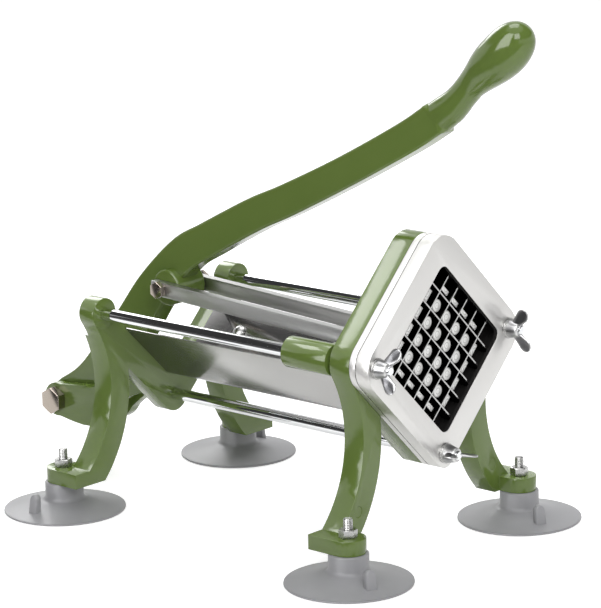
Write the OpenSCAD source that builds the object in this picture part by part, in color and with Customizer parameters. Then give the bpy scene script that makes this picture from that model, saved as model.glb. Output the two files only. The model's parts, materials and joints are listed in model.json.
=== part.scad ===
// Hand-operated french fry cutter. The lever pulls a toothed pusher along two guide rods,
// and the pusher drives a potato through a square blade grid clamped behind three wing nuts.
// X runs forward, out of the blades; Z is up; the rubber cups stand on Z = 0.

/* [Blade grid] */
// Side of one square cut
cut_pitch = 12.7; // [9:0.1:15]
// Cuts along each side of the grid
cut_count = 6; // [4:1:7]
// Thickness of a blade strip
blade_t = 0.9; // [0.5:0.1:1.5]
// Depth of a blade strip along X
blade_depth = 9.5; // [7:0.5:14]
// Length of the ground edge of a blade
blade_edge = 2.2; // [1:0.1:4]
// Width of the ledge that holds the ends of the blades
blade_seat = 4.0; // [2:0.5:5]
// Height of the grid centre above the counter
grid_z = 129.2; // [115:0.1:160]

/* [Blade holder] */
// Side of the square holder plates
holder_side = 110.8; // [104:0.2:130]
// Corner radius of the holder plates and of the front frame
holder_r = 17; // [12:0.5:20]
// Thickness of the front plate
front_plate_t = 10.4; // [8:0.1:14]
// Thickness of the rear plate
rear_plate_t = 5.0; // [4:0.1:8]
// Thickness of the lip in front of the blades
holder_lip = 3.1; // [1.5:0.1:5]
// Radius of the lowest corner, which makes room for the lower rod
holder_low_r = 8; // [6:0.5:12]
// Distance of the guide rods from the side corners of the plates
rod_inset = 8.3; // [6.5:0.1:9.8]
// Height of the guide rods above the grid centre
rod_rise = 1.2; // [0:0.1:3]
// Distance of the lower rod from the lowest corner of the plates
low_rod_inset = 9.5; // [8:0.1:12]

/* [Front frame] */
// Thickness of both castings' legs along X
leg_t = 15.5; // [10:0.5:20]
// Radius of the hollow outer edge of a leg
leg_hollow_r = 76.2; // [60:0.1:90]
// Width of a leg
leg_w = 16.5; // [12:0.5:22]
// Height of the centre of the leg curves
leg_z = 82.7; // [75:0.1:100]
// Thickness of a foot pad
pad_t = 9.5; // [6:0.5:14]
// Radius of the round end of a foot pad
pad_r = 11; // [10:0.5:16]
// Distance from the front frame's front face to the front stud
front_foot_reach = 7.3; // [4:0.1:20]
// Diameter of the ejector mark above each front foot
mark_d = 7; // [4:0.5:9]

/* [Rear frame] */
// Distance from the blade edges back to the web of the rear frame
web_x = 229; // [200:1:280]
// Thickness of the V-shaped web
web_t = 12.4; // [8:0.1:16]
// Distance that the bosses of the guide rods stand in front of the web
boss_front = 0.4; // [0.1:0.1:4]
// Radius of the web's lowest corner, about the lower rod
lug_r = 11.5; // [9:0.5:14]
// Distance from the web to the rear studs
rear_foot_reach = 22.5; // [18:0.1:30]

/* [Lever bearing] */
// Distance from the web's front face back to the lever's pivot
pivot_back = 98; // [85:1:115]
// Height of the lever's pivot
pivot_z = 47; // [40:0.5:55]
// Radius of the round end of each ear
ear_r = 11.5; // [10:0.5:14]
// Climb of the ears from the pivot to the web
ear_climb = 30; // [24:0.5:36]
// Thickness of an ear
ear_t = 7.5; // [5:0.5:10]
// Gap between the ears
ear_gap = 17; // [15:0.5:24]
// Diameter of the pivot bolt
pivot_d = 10; // [8:0.5:12]
// Width across the flats of the pivot bolt's head
pivot_af = 16; // [14:0.5:19]
// Height of the pivot bolt's head
pivot_head = 6.4; // [4:0.1:8]
// Thickness of the pivot nut
pivot_nut_t = 8; // [5:0.5:10]

/* [Lever] */
// Thickness of the lever
lever_t = 15; // [12:0.5:16]
// Forward reach of the lever's flat part
lever_reach = 324; // [290:1:350]
// Rise of the lever's flat part
lever_rise = 223; // [200:1:250]
// Width of the lever at its pivot
lever_w = 26; // [22:0.5:30]
// Length of the grip in front of the flat part
grip_l = 95.5; // [80:0.5:110]
// Angle of the grip above the counter
grip_angle = 41; // [30:0.5:60]
// Radius of the grip at its thickest
grip_r = 14.4; // [12:0.1:18]
// Width over both bosses that carry the links
lever_boss_w = 25; // [20:0.5:30]
// Radius of those bosses
lever_boss_r = 12; // [9:0.5:14]

/* [Links] */
// Distance from the lever's pivot to the link bolt
crank_r = 139.5; // [120:0.5:150]
// Angle of the link bolt above the pivot, when the lever is down
crank_angle = 41.2; // [38:0.1:45]
// Thickness of a link
link_t = 5.6; // [4:0.1:7]
// Width of a link
link_w = 9.4; // [8:0.1:14]
// Length that a link runs past the centre of a bolt
link_end = 8; // [5:0.5:10]
// Diameter of the link bolts
link_bolt_d = 6; // [5:0.5:8]
// Width across the flats of the link bolts and nuts
link_bolt_af = 10; // [8:0.5:13]
// Height of a link bolt's head
link_head = 4; // [3:0.1:6]
// Thickness of a link nut
link_nut_t = 5; // [4:0.1:7]

/* [Pusher] */
// Distance from the blade edges back to the pivot of the links on the carriage
carriage_x = 56; // [50:0.5:62]
// Distance that the tooth faces stand behind the blade edges, when the lever is down
tooth_back = 2.6; // [1:0.1:8]
// Diameter of a round tooth
tooth_d = 8.3; // [6:0.1:9]
// Thickness of the short flat teeth along the sides
side_tooth_t = 3.2; // [2:0.1:6]
// Distance from the last blades out to those flat teeth
side_tooth_off = 3.4; // [2:0.1:6]
// Length of a tooth in front of the head
tooth_l = 15.4; // [8:0.1:20]
// Thickness of the toothed head
head_t = 9; // [6:0.5:14]
// Thickness of the carriage's middle plate
carriage_t = 9; // [6:0.5:14]
// Outside radius of a sleeve
sleeve_r = 9.8; // [8:0.1:14]
// Length of a sleeve
sleeve_l = 36; // [30:1:60]
// Distance from the front frame to the sleeves, when the lever is down
sleeve_gap = 2.4; // [0.5:0.1:4]
// Thickness of the arms between the sleeves and the middle plate
arm_t = 10; // [8:0.5:14]
// Height of those arms
arm_h = 15; // [10:0.5:18]
// Diameter of the screws that hold the toothed head
head_screw_d = 5; // [4:0.5:6]
// Diameter of those screws' heads
head_screw_head_d = 8.5; // [7:0.5:10]
// Height of those screws' heads
head_screw_head = 3; // [2:0.1:5]
// Spacing of those screws across and up the head
head_screw_pitch = 44; // [36:1:48]

/* [Trough] */
// Outer half side of the trough's V
trough_half = 40; // [39.6:0.1:42]
// Thickness of the trough's sheet
trough_t = 1.2; // [0.8:0.1:2]
// Outer radius of the bottom bend
trough_bend_r = 12.5; // [8:0.5:18]
// Distance of the trough's top edges below the grid centre
trough_drop = 12; // [8:0.5:20]
// Distance from the web to the screw in the far wall
trough_screw_x = 31.5; // [15:0.5:60]
// Distance of that screw from the upper edge, along the wall
trough_screw_down = 18; // [12:0.5:30]
// Diameter of that screw
trough_screw_d = 5; // [3:0.5:6]
// Diameter of that screw's head
trough_screw_head_d = 9; // [7:0.5:11]
// Height of that screw's head
trough_screw_head = 3; // [2:0.1:4]
// Thickness of that screw's nut
trough_nut_t = 4; // [3:0.1:5]

/* [Rods] */
// Diameter of the rods
rod_d = 8; // [6:0.5:10]
// Diameter of the threaded ends
stud_d = 6; // [5:0.5:8]
// Width across the flats of the nuts behind the rear frame
rod_nut_af = 10; // [9:0.5:13]
// Thickness of those nuts
rod_nut_t = 5; // [4:0.1:7]
// Length of thread behind those nuts
rod_tail = 8.5; // [2:0.5:12]
// Length of thread in front of the wing nuts
rod_nose = 1.5; // [0.5:0.5:6]
// Outside diameter of the washers under the wing nuts
washer_d = 13; // [11:0.5:16]
// Thickness of those washers
washer_t = 1.2; // [0.8:0.1:2]
// Diameter of a wing nut's hub at the washer
wing_hub_d = 12; // [10:0.5:14]
// Height of a wing nut's hub
wing_hub_h = 8; // [6:0.5:10]
// Span over both wings
wing_span = 29; // [24:0.5:36]
// Thickness of a wing
wing_t = 2.6; // [1.5:0.1:4]
// Radius of a wing's round tip
wing_tip_r = 4.5; // [3.5:0.5:6]
// Distance that the wings stand in front of the hub
wing_lift = 7.5; // [3:0.5:10]

/* [Feet] */
// Radius of a suction cup's rim
cup_r = 39.8; // [32:0.2:44]
// Radius of a cup's neck
cup_neck_r = 12.5; // [9:0.5:16]
// Height of a cup
cup_h = 19.4; // [15:0.2:26]
// Height at which the dish meets the neck
cup_dish_h = 7.2; // [5:0.1:10]
// Thickness of the rubber at the rim
cup_rim_t = 1.3; // [1:0.1:2.5]
// Thickness of the dish
cup_wall = 2.6; // [2:0.1:4]
// Width of the flat rim
cup_lip = 3; // [2:0.5:5]
// Height of the pull tab
tab_h = 12; // [7:0.5:15]
// Width of the pull tab
tab_w = 7.5; // [6:0.5:12]
// Thickness of the pull tab
tab_t = 5; // [3:0.5:6]
// Distance of the pull tab from the middle of its cup
tab_reach = 26; // [20:0.5:30]
// Distance of the cups from the middle plane
foot_y = 83; // [75:0.5:95]
// Diameter of the foot studs
foot_stud_d = 6; // [5:0.5:8]
// Height of the top of the foot studs above the counter
foot_stud_top = 40.7; // [37:0.1:48]
// Width across the flats of the foot nuts
foot_nut_af = 10; // [9:0.5:13]
// Thickness of the foot nuts
foot_nut_t = 5.2; // [4:0.1:7]

/* [Fits] */
// Radial clearance of a bolt or rod in a hole where nothing turns or slides
bolt_fit = 0.2; // [0.1:0.05:0.4]
// Radial clearance of a turning or sliding fit
running_fit = 0.08; // [0.03:0.01:0.1]
// Gap between pieces that move past each other
side_gap = 0.5; // [0.3:0.1:1]

/* [Hidden] */

// One overrun for every cut
over = 1;
enamel = [0.37, 0.46, 0.24];
steel = [0.80, 0.80, 0.81];
bright = [0.90, 0.90, 0.91];
nickel = [0.72, 0.66, 0.58];
rubber = [0.64, 0.64, 0.66];
machined = [0.86, 0.86, 0.85];

// Faces along X, measured from the front edges of the blades
lip_x = holder_lip;
plate_x = holder_lip - front_plate_t;
frame_x = plate_x - rear_plate_t;
frame_back_x = frame_x - leg_t;
web_front_x = -web_x;
web_back_x = web_front_x - web_t;
rear_leg_back_x = web_front_x - leg_t;
pivot_x = web_front_x - pivot_back;
front_foot_x = frame_x + front_foot_reach;
rear_foot_x = web_front_x - rear_foot_reach;

// The grid, its window and the trough
window_half = cut_count * cut_pitch / 2 + cut_pitch / 32;
pocket_half = window_half + blade_seat;
window_r = holder_r / 3;
trough_inner = trough_half - trough_t;
trough_top_z = grid_z - trough_drop;
head_half = window_half - side_gap;
// The head's corners keep the same distance from the trough as its sides
head_r = trough_bend_r - trough_t - (trough_inner - head_half);
// The three rods stand inside the round corners of the plates
rod_z = grid_z + rod_rise;
rod_reach = (holder_side - holder_r * (2 - sqrt(2))) / sqrt(2) - rod_inset;
low_rod_drop = (holder_side - holder_low_r * (2 - sqrt(2))) / sqrt(2) - low_rod_inset;
// The web's lowest corner lies about the lower rod
web_half = low_rod_drop / sqrt(2) + lug_r;

// The lever's end points and the linkage when the lever is down
bolt_x = pivot_x + crank_r * cos(crank_angle);
bolt_z = pivot_z + crank_r * sin(crank_angle);
slide_x = -carriage_x;
slide_z = rod_z;
link_l = norm([slide_x - bolt_x, slide_z - bolt_z]);
link_tilt = atan2(slide_z - bolt_z, slide_x - bolt_x);

// The grip ends in half an ellipsoid; its front and the lever's foot are the two ends of the cutter
grip_nose = 1.55 * grip_r;
grip_nose_x = pivot_x + lever_reach + (grip_l - grip_nose) * cos(grip_angle);
grip_front_x = grip_nose_x + norm([grip_nose * cos(grip_angle), grip_r * sin(grip_angle)]);
back_x = pivot_x - max(ear_r, lever_w / 2);
origin_x = (grip_front_x + back_x) / 2;

// Legs: two arcs about one centre, the hollow one tangent to the corner that it starts from
corner_y = holder_side / sqrt(2) - holder_r * sqrt(2);
leg_y = corner_y + sqrt(pow(leg_hollow_r + holder_r, 2) - pow(grid_z - leg_z, 2));
leg_full_r = leg_hollow_r + leg_w;
pad_top_z = cup_h + pad_t;
leg_join_z = grid_z - holder_r * (grid_z - leg_z) / (leg_hollow_r + holder_r);
// The bosses of the guide rods run into the hollow edge of the legs
boss_r = norm([leg_y - rod_reach, rod_z - leg_z]) - leg_hollow_r;
boss_join_z = rod_z - boss_r * (rod_z - leg_z) / (leg_hollow_r + boss_r);

$fa = 3;
$fs = 0.4;

// Places children with the origin under the middle of the whole cutter
module placed() { translate([-origin_x, 0, 0]) children(); }

// Draws a flat shape, given as Y and Z, and thickens it from x0 to x1
module slab(x0, x1) {
    translate([x0, 0, 0]) rotate([90, 0, 90]) linear_extrude(x1 - x0) children();
}

// Cylinder along X from x0 to x1
module rod_x(x0, x1, r, y = 0, z = 0) {
    translate([x0, y, z]) rotate([0, 90, 0]) cylinder(h = x1 - x0, r = r);
}

// Cylinder along Y from y0 to y1
module rod_y(y0, y1, r, x = 0, z = 0) {
    translate([x, y0, z]) rotate([-90, 0, 0]) cylinder(h = y1 - y0, r = r);
}

// Hexagon prism along Z, given across its flats
module hex(af, h) { cylinder(h = h, r = af / sqrt(3), $fn = 6); }

// Square with round corners, standing on one corner about the grid centre
module diamond(half, r, low_r = 0) {
    translate([0, grid_z]) rotate(45) {
        square([2 * half, 2 * (half - r)], center = true);
        square([2 * (half - r), 2 * half], center = true);
        for (i = [-1, 1], k = [-1, 1])
            translate([i * (half - r), k * (half - r)]) circle(r);
        // A tighter lowest corner
        if (low_r > 0) translate([-half, -half]) {
            translate([low_r, 0]) square([r - low_r + over, r]);
            translate([0, low_r]) square([r, r - low_r + over]);
            translate([low_r, low_r]) circle(low_r);
        }
    }
}

// Both sides of a thing made on the far side
module both_sides() {
    children();
    mirror([1, 0]) children();
}

module both_sides_3d() {
    children();
    mirror([0, 1, 0]) children();
}

// The three places where a rod crosses the blade holder
rod_places = [[-rod_reach, rod_z], [rod_reach, rod_z], [0, grid_z - low_rod_drop]];
// Turns of the wing nuts about their rods
wing_turns = [73, 97, -10];
// Half the width of a wing where it meets its round tip, as a share of the tip's radius
tip_share = 0.65;

// One leg's outline up to the height where it joins the corner or boss above it
module leg_outline(top_z) {
    intersection() {
        translate([leg_y, leg_z]) difference() {
            circle(leg_full_r);
            circle(leg_hollow_r);
        }
        translate([leg_y - leg_full_r, cup_h]) square([leg_full_r, top_z - cup_h]);
    }
}

// Foot pad from the leg's back or front face to the round end about the stud
module foot_pad(x_leg, x_stud) {
    translate([0, 0, cup_h]) {
        translate([min(x_leg, x_stud), foot_y - pad_r, 0])
            cube([abs(x_stud - x_leg), 2 * pad_r, pad_t]);
        translate([x_stud, foot_y, 0]) cylinder(h = pad_t, r = pad_r);
    }
}

module front_frame() color(enamel) placed() difference() {
    union() {
        slab(frame_back_x, frame_x) {
            diamond(holder_side / 2, holder_r, holder_low_r);
            both_sides() leg_outline(leg_join_z);
        }
        both_sides_3d() foot_pad(frame_back_x, front_foot_x);
    }
    slab(frame_back_x - over, frame_x + over) diamond(trough_inner, window_r);
    for (p = rod_places)
        rod_x(frame_back_x - over, frame_x + over, stud_d / 2 + bolt_fit, p[0], p[1]);
    both_sides_3d() {
        translate([front_foot_x, foot_y, cup_h - over])
            cylinder(h = pad_t + 2 * over, r = foot_stud_d / 2 + bolt_fit);
        rod_x(frame_x - mark_d / 16, frame_x + over, mark_d / 2,
              foot_y - pad_r - mark_d, pad_top_z + mark_d * 1.4);
    }
}

// Point on the smooth curve through the rows of table p, at t counted in rows
function curve(p, t) =
    let (n = len(p) - 1, i = min(floor(t), n - 1), u = t - i,
         a = p[max(i - 1, 0)], b = p[i], c = p[i + 1], d = p[min(i + 2, n)])
    0.5 * (2 * b + (c - a) * u + (2 * a - 5 * b + 4 * c - d) * pow(u, 2)
           + (3 * b - a - 3 * c + d) * pow(u, 3));

// One edge of a band along a spine; p holds shares of run, rise and width
function band_side(p, run, rise, width, t, side) =
    let (n = len(p) - 1, s = curve(p, t), a = curve(p, max(t - 0.02, 0)),
         b = curve(p, min(t + 0.02, n)), d = [(b[0] - a[0]) * run, (b[1] - a[1]) * rise])
    [s[0] * run, s[1] * rise] + side * s[2] * width / (2 * norm(d)) * [-d[1], d[0]];

function band(p, run, rise, width, steps = 5) = let (n = steps * (len(p) - 1)) concat(
    [for (i = [0:n]) band_side(p, run, rise, width, i / steps, 1)],
    [for (i = [n:-1:0]) band_side(p, run, rise, width, i / steps, -1)]);

// Spine of an ear from the pivot up to the web, and its width, as shares
ear_shares = [[0, 0, 0.94], [0.346, 0.01, 1.22], [0.5, 0.22, 0.87], [0.66, 0.55, 0.8],
              [0.82, 0.8, 0.83], [1, 1, 0.92]];
ear_run = web_back_x - pivot_x + over;

module ear_outline() translate([pivot_x, pivot_z]) {
    circle(ear_r);
    polygon(band(ear_shares, ear_run, ear_climb, 2 * ear_r));
}

module ear(y0) {
    translate([0, y0 + ear_t, 0]) rotate([90, 0, 0]) linear_extrude(ear_t) ear_outline();
}

// Outline of the V-shaped web
module web_outline() {
    difference() {
        intersection() {
            diamond(web_half, lug_r);
            translate([-rod_reach, 0]) square([2 * rod_reach, rod_z]);
        }
        diamond(trough_inner, trough_bend_r - trough_t);
        both_sides() translate([leg_y, leg_z]) circle(leg_hollow_r + boss_r / 2);
    }
}

// Outline of a leg's upper end and of the boss of a guide rod
module arm_outline() {
    leg_outline(boss_join_z);
    translate([rod_reach, rod_z]) circle(boss_r);
}

module rear_frame() color(enamel) placed() difference() {
    union() {
        slab(web_back_x, web_front_x) web_outline();
        slab(web_back_x, web_front_x) both_sides() arm_outline();
        slab(rear_leg_back_x, web_back_x) both_sides() leg_outline(boss_join_z - boss_r);
        both_sides_3d() {
            rod_x(web_front_x, web_front_x + boss_front, boss_r, rod_reach, rod_z);
            foot_pad(web_front_x, rear_foot_x);
            ear(ear_gap / 2);
        }
        // Rib between the ears
        translate([web_back_x - ear_t, -ear_gap / 2 - over, pivot_z + ear_climb - ear_r / 2])
            cube([ear_t + over, ear_gap + 2 * over, ear_r / 2]);
    }
    for (p = rod_places)
        rod_x(web_back_x - over, web_front_x + boss_front + over, stud_d / 2 + bolt_fit,
              p[0], p[1]);
    both_sides_3d() translate([rear_foot_x, foot_y, cup_h - over])
        cylinder(h = pad_t + 2 * over, r = foot_stud_d / 2 + bolt_fit);
    rod_y(-ear_gap, ear_gap, pivot_d / 2 + bolt_fit, pivot_x, pivot_z);
}

module trough() color(bright) placed() difference() {
    slab(web_front_x, frame_back_x) difference() {
        diamond(trough_half, trough_bend_r);
        diamond(trough_inner, trough_bend_r - trough_t);
        translate([-2 * trough_half, trough_top_z]) square([4 * trough_half, 4 * trough_half]);
    }
    in_far_wall() translate([0, 0, -over - trough_t])
        cylinder(h = trough_t + 2 * over, r = trough_screw_d / 2 + bolt_fit);
}

// Frame on the inner face of the far wall, with its Z pointing into the trough
module in_far_wall() {
    wall_y = trough_half * sqrt(2) - trough_drop - trough_screw_down / sqrt(2) - trough_t * sqrt(2);
    wall_z = trough_top_z - trough_screw_down / sqrt(2);
    translate([web_front_x + trough_screw_x, wall_y, wall_z]) rotate([45, 0, 0]) children();
}

module trough_screw() color(steel) placed() in_far_wall() {
    intersection() {
        cylinder(h = trough_screw_head, r = trough_screw_head_d / 2);
        translate([0, 0, trough_screw_head - trough_screw_head_d * 0.75])
            sphere(trough_screw_head_d * 0.75);
    }
    translate([0, 0, -trough_t - trough_nut_t - trough_t])
        cylinder(h = 2 * trough_t + trough_nut_t, r = trough_screw_d / 2);
}

module trough_nut() color(steel) placed() in_far_wall()
    translate([0, 0, -trough_t - trough_nut_t]) difference() {
        hex(trough_screw_head_d, trough_nut_t);
        translate([0, 0, -over])
            cylinder(h = trough_nut_t + 2 * over, r = trough_screw_d / 2 + running_fit);
    }

// A rod with a threaded stud on each end, its shoulders against both castings
module rod(p, x_back) {
    nose_x = lip_x + washer_t + wing_hub_h + rod_nose;
    rod_x(x_back, frame_back_x, rod_d / 2, p[0], p[1]);
    rod_x(web_back_x - rod_nut_t - rod_tail, x_back + over, stud_d / 2, p[0], p[1]);
    rod_x(frame_back_x - over, nose_x, stud_d / 2, p[0], p[1]);
}

module guide_rod_near() color(bright) placed() rod(rod_places[0], web_front_x + boss_front);

module guide_rod_far() color(bright) placed() rod(rod_places[1], web_front_x + boss_front);

module tie_rod() color(bright) placed() rod(rod_places[2], web_front_x);

module rod_nuts() color(steel) placed() for (p = rod_places) difference() {
    translate([web_back_x - rod_nut_t, p[0], p[1]]) rotate([0, 90, 0])
        hex(rod_nut_af, rod_nut_t);
    rod_x(web_back_x - rod_nut_t - over, web_back_x + over, stud_d / 2 + running_fit, p[0], p[1]);
}

// A holder plate, with its window and the holes for the rods
module holder_plate(x0, x1) difference() {
    slab(x0, x1) diamond(holder_side / 2, holder_r, holder_low_r);
    slab(x0 - over, x1 + over) diamond(window_half, window_r);
    for (p = rod_places) rod_x(x0 - over, x1 + over, stud_d / 2 + bolt_fit, p[0], p[1]);
}

module blade_holder_front() color(bright) placed() difference() {
    holder_plate(plate_x, lip_x);
    slab(plate_x - over, 0) diamond(pocket_half, window_r);
}

module blade_holder_rear() color(bright) placed() difference() {
    holder_plate(frame_x, plate_x);
    slab(-blade_depth - side_gap / 4, plate_x + over) diamond(pocket_half, window_r);
}

// One blade strip along Y, before it is turned; its ground edge points back
module blade_strip() {
    half = pocket_half - side_gap / 2;
    rotate([90, 0, 0]) translate([0, 0, -half]) linear_extrude(2 * half)
        polygon([[0, blade_t / 2], [0, -blade_t / 2], [blade_edge - blade_depth, -blade_t / 2],
                 [-blade_depth, -blade_t / 8], [-blade_depth, blade_t / 8],
                 [blade_edge - blade_depth, blade_t / 2]]);
}

// A set of parallel strips, notched half way from the back or the front for the other set
module blade_set(turn, notch_from_front) {
    notch = blade_t + running_fit;
    start = notch_from_front ? -blade_depth / 2 - running_fit : -blade_depth - over;
    translate([0, 0, grid_z]) rotate([turn, 0, 0])
        for (i = [1:cut_count - 1]) translate([0, 0, (i - cut_count / 2) * cut_pitch])
            difference() {
                blade_strip();
                for (k = [1:cut_count - 1])
                    translate([start, (k - cut_count / 2) * cut_pitch - notch / 2, -blade_t])
                        cube([blade_depth / 2 + running_fit + over, notch, 2 * blade_t]);
            }
}

module blades_rising() color(steel) placed() blade_set(45, true);

module blades_falling() color(steel) placed() blade_set(-45, false);

module holder_washers() color(steel) placed() for (p = rod_places) difference() {
    rod_x(lip_x, lip_x + washer_t, washer_d / 2, p[0], p[1]);
    rod_x(lip_x - over, lip_x + washer_t + over, stud_d / 2 + bolt_fit, p[0], p[1]);
}

// A wing nut on the rod at p, its wings turned by the given angle about the rod
module wing_nut(p, turn) {
    tip = wing_span / 2 - wing_tip_r;
    tip_x = wing_hub_h + wing_lift - wing_tip_r;
    half_w = wing_tip_r * tip_share;
    root = wing_hub_d / 2 - wing_t / 2;
    translate([lip_x + washer_t, p[0], p[1]]) rotate([turn, 0, 0]) difference() {
        union() {
            rotate([0, 90, 0]) cylinder(h = wing_hub_h, r1 = wing_hub_d / 2, r2 = wing_hub_d / 2.6);
            for (side = [0, 1]) mirror([0, side, 0])
                translate([0, 0, -wing_t / 2]) linear_extrude(wing_t) {
                    polygon([[wing_t / 2, 0], [wing_t / 2, root], [tip_x - half_w, tip + half_w],
                             [tip_x + half_w, tip - half_w], [wing_hub_h - wing_t / 2, 0]]);
                    translate([tip_x, tip]) circle(wing_tip_r);
                }
        }
        rod_x(-over, wing_hub_h + wing_lift, stud_d / 2 + running_fit);
    }
}

module wing_nut_near() color(steel) placed() wing_nut(rod_places[0], wing_turns[0]);

module wing_nut_far() color(steel) placed() wing_nut(rod_places[1], wing_turns[1]);

module wing_nut_bottom() color(steel) placed() wing_nut(rod_places[2], wing_turns[2]);

// The teeth of the pusher: one round tooth for each inner cell, flat ones for the side cells
module pusher_teeth() {
    inner = [1:cut_count - 2];
    mid = (cut_count - 1) / 2;
    outer_at = (mid - 0.5) * cut_pitch + side_tooth_off + side_tooth_t / 2;
    for (i = inner, k = inner)
        translate([(i - mid) * cut_pitch, (k - mid) * cut_pitch]) circle(d = tooth_d);
    for (i = inner, side = [-1, 1]) {
        translate([(i - mid) * cut_pitch, side * outer_at])
            square([tooth_d, side_tooth_t], center = true);
        translate([side * outer_at, (i - mid) * cut_pitch])
            square([side_tooth_t, tooth_d], center = true);
    }
}

head_front_x = -tooth_back - tooth_l;
head_back_x = head_front_x - head_t;
carriage_back_x = head_back_x - carriage_t;
head_screw_places = [for (i = [-1, 1], k = [-1, 1])
    [i * head_screw_pitch / 2, grid_z + k * head_screw_pitch / 2]];

module pusher_head() color(machined) placed() difference() {
    union() {
        slab(head_back_x, head_front_x) diamond(head_half, head_r);
        slab(head_front_x - over, -tooth_back) translate([0, grid_z]) rotate(45) pusher_teeth();
    }
    for (p = head_screw_places)
        rod_x(head_back_x - over, head_front_x - head_t / 3, head_screw_d / 2 + bolt_fit,
              p[0], p[1]);
}

module pusher_head_screws() color(steel) placed()
    for (p = head_screw_places) {
        rod_x(carriage_back_x - head_screw_head, carriage_back_x, head_screw_head_d / 2, p[0], p[1]);
        rod_x(carriage_back_x - over, head_front_x - head_t / 2, head_screw_d / 2, p[0], p[1]);
    }

// The carriage: middle plate, lug for the links, arms and sleeves
lug_half = lever_boss_w / 2 - side_gap / 2;
sleeve_front_x = frame_back_x - sleeve_gap;
sleeve_back_x = sleeve_front_x - sleeve_l;

module pusher_carriage() color(enamel) placed() difference() {
    union() {
        slab(carriage_back_x, head_back_x) diamond(head_half, head_r);
        rod_y(-lug_half, lug_half, link_w, slide_x, slide_z);
        translate([slide_x, -lug_half, slide_z - link_w])
            cube([carriage_back_x - slide_x, 2 * lug_half, 2 * link_w]);
        translate([sleeve_front_x - arm_t, -rod_reach, slide_z - arm_h / 2])
            cube([arm_t, 2 * rod_reach, arm_h]);
        both_sides_3d() rod_x(sleeve_back_x, sleeve_front_x, sleeve_r, rod_reach, slide_z);
    }
    for (p = [rod_places[0], rod_places[1]])
        rod_x(sleeve_back_x - over, sleeve_front_x + over, rod_d / 2 + running_fit, p[0], p[1]);
    for (p = head_screw_places)
        rod_x(carriage_back_x - over, head_back_x + over, head_screw_d / 2 + bolt_fit, p[0], p[1]);
}

// Spine of the lever's flat part from the pivot to the grip, and its width, as shares
lever_shares = [[0, 0, 0.9], [0.08, 0.075, 1.06], [0.194, 0.26, 1.11], [0.264, 0.389, 1.04],
                [0.349, 0.509, 0.93], [0.423, 0.57, 0.88], [0.553, 0.668, 0.84],
                [0.646, 0.728, 0.81], [0.794, 0.833, 0.77], [0.937, 0.944, 0.77], [1, 1, 0.78]];

// The grip's profile behind its nose, as shares of its length and of its greatest radius
grip_shares = [[0, 0.64], [0.2, 0.66], [0.4, 0.68], [0.58, 0.87], [0.764, 1]];
grip_back = grip_l - grip_nose;
grip_profile = concat(
    [[0, -grip_r], [lever_t / 4, -grip_r], [lever_t / 2, -grip_r / 2]],
    [for (i = [0:0.25:len(grip_shares) - 1]) let (s = curve(grip_shares, i))
        [s[1] * grip_r, s[0] / grip_shares[len(grip_shares) - 1][0] * grip_back]],
    [for (a = [7.5:7.5:90]) [grip_r * cos(a), grip_back + grip_nose * sin(a)]],
    [[0, 0]]);

module lever() color(enamel) placed() translate([pivot_x, 0, pivot_z]) difference() {
    union() {
        rotate([90, 0, 0]) translate([0, 0, -lever_t / 2]) linear_extrude(lever_t) {
            circle(lever_w / 2);
            polygon(band(lever_shares, lever_reach, lever_rise, lever_w));
        }
        rod_y(-lever_boss_w / 2, lever_boss_w / 2, lever_boss_r, bolt_x - pivot_x, bolt_z - pivot_z);
        translate([lever_reach, 0, lever_rise]) rotate([0, 90 - grip_angle, 0])
            rotate_extrude() polygon(grip_profile);
        rod_y(-lever_t / 2, lever_t / 2, lever_shares[len(lever_shares) - 1][2] * lever_w / 2,
              lever_reach, lever_rise);
    }
    rod_y(-ear_gap, ear_gap, pivot_d / 2 + running_fit);
    rod_y(-lever_boss_w, lever_boss_w, link_bolt_d / 2 + running_fit,
          bolt_x - pivot_x, bolt_z - pivot_z);
}

// Bolt along Y with a hex head on the near side
module bolt_y(x, z, y_head, y_end, d, af, head) {
    rod_y(y_head - over / 4, y_end, d / 2, x, z);
    translate([x, y_head - head, z]) rotate([-90, 30, 0]) hex(af, head);
}

module nut_y(x, z, y, d, af, t) difference() {
    translate([x, y, z]) rotate([-90, 30, 0]) hex(af, t);
    rod_y(y - over, y + t + over, d / 2 + running_fit, x, z);
}

ear_out_y = ear_gap / 2 + ear_t;
module pivot_bolt() color(nickel) placed()
    bolt_y(pivot_x, pivot_z, -ear_out_y, ear_out_y + pivot_nut_t + pivot_d / 5, pivot_d,
           pivot_af, pivot_head);

module pivot_nut() color(nickel) placed()
    nut_y(pivot_x, pivot_z, ear_out_y, pivot_d, pivot_af, pivot_nut_t);

// One link from the lever's bolt to the carriage, its inner face at y0
module link(y0) difference() {
    translate([bolt_x, y0, bolt_z]) rotate([0, -link_tilt, 0]) {
        translate([-link_end, 0, -link_w / 2]) cube([link_l + 2 * link_end, link_t, link_w]);
    }
    rod_y(y0 - over, y0 + link_t + over, link_bolt_d / 2 + running_fit, bolt_x, bolt_z);
    rod_y(y0 - over, y0 + link_t + over, link_bolt_d / 2 + running_fit, slide_x, slide_z);
}

link_in_y = lever_boss_w / 2 + side_gap / 2;
link_out_y = link_in_y + link_t;

module link_near() color(steel) placed() link(-link_out_y);

module link_far() color(steel) placed() link(link_in_y);

module link_bolt() color(nickel) placed()
    bolt_y(bolt_x, bolt_z, -link_out_y, link_out_y + link_nut_t + link_bolt_d / 4, link_bolt_d,
           link_bolt_af, link_head);

module link_nut() color(nickel) placed()
    nut_y(bolt_x, bolt_z, link_out_y, link_bolt_d, link_bolt_af, link_nut_t);

module carriage_bolts() color(nickel) placed() both_sides_3d()
    bolt_y(slide_x, slide_z, -link_out_y, -link_in_y, link_bolt_d, link_bolt_af, link_head);

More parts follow.
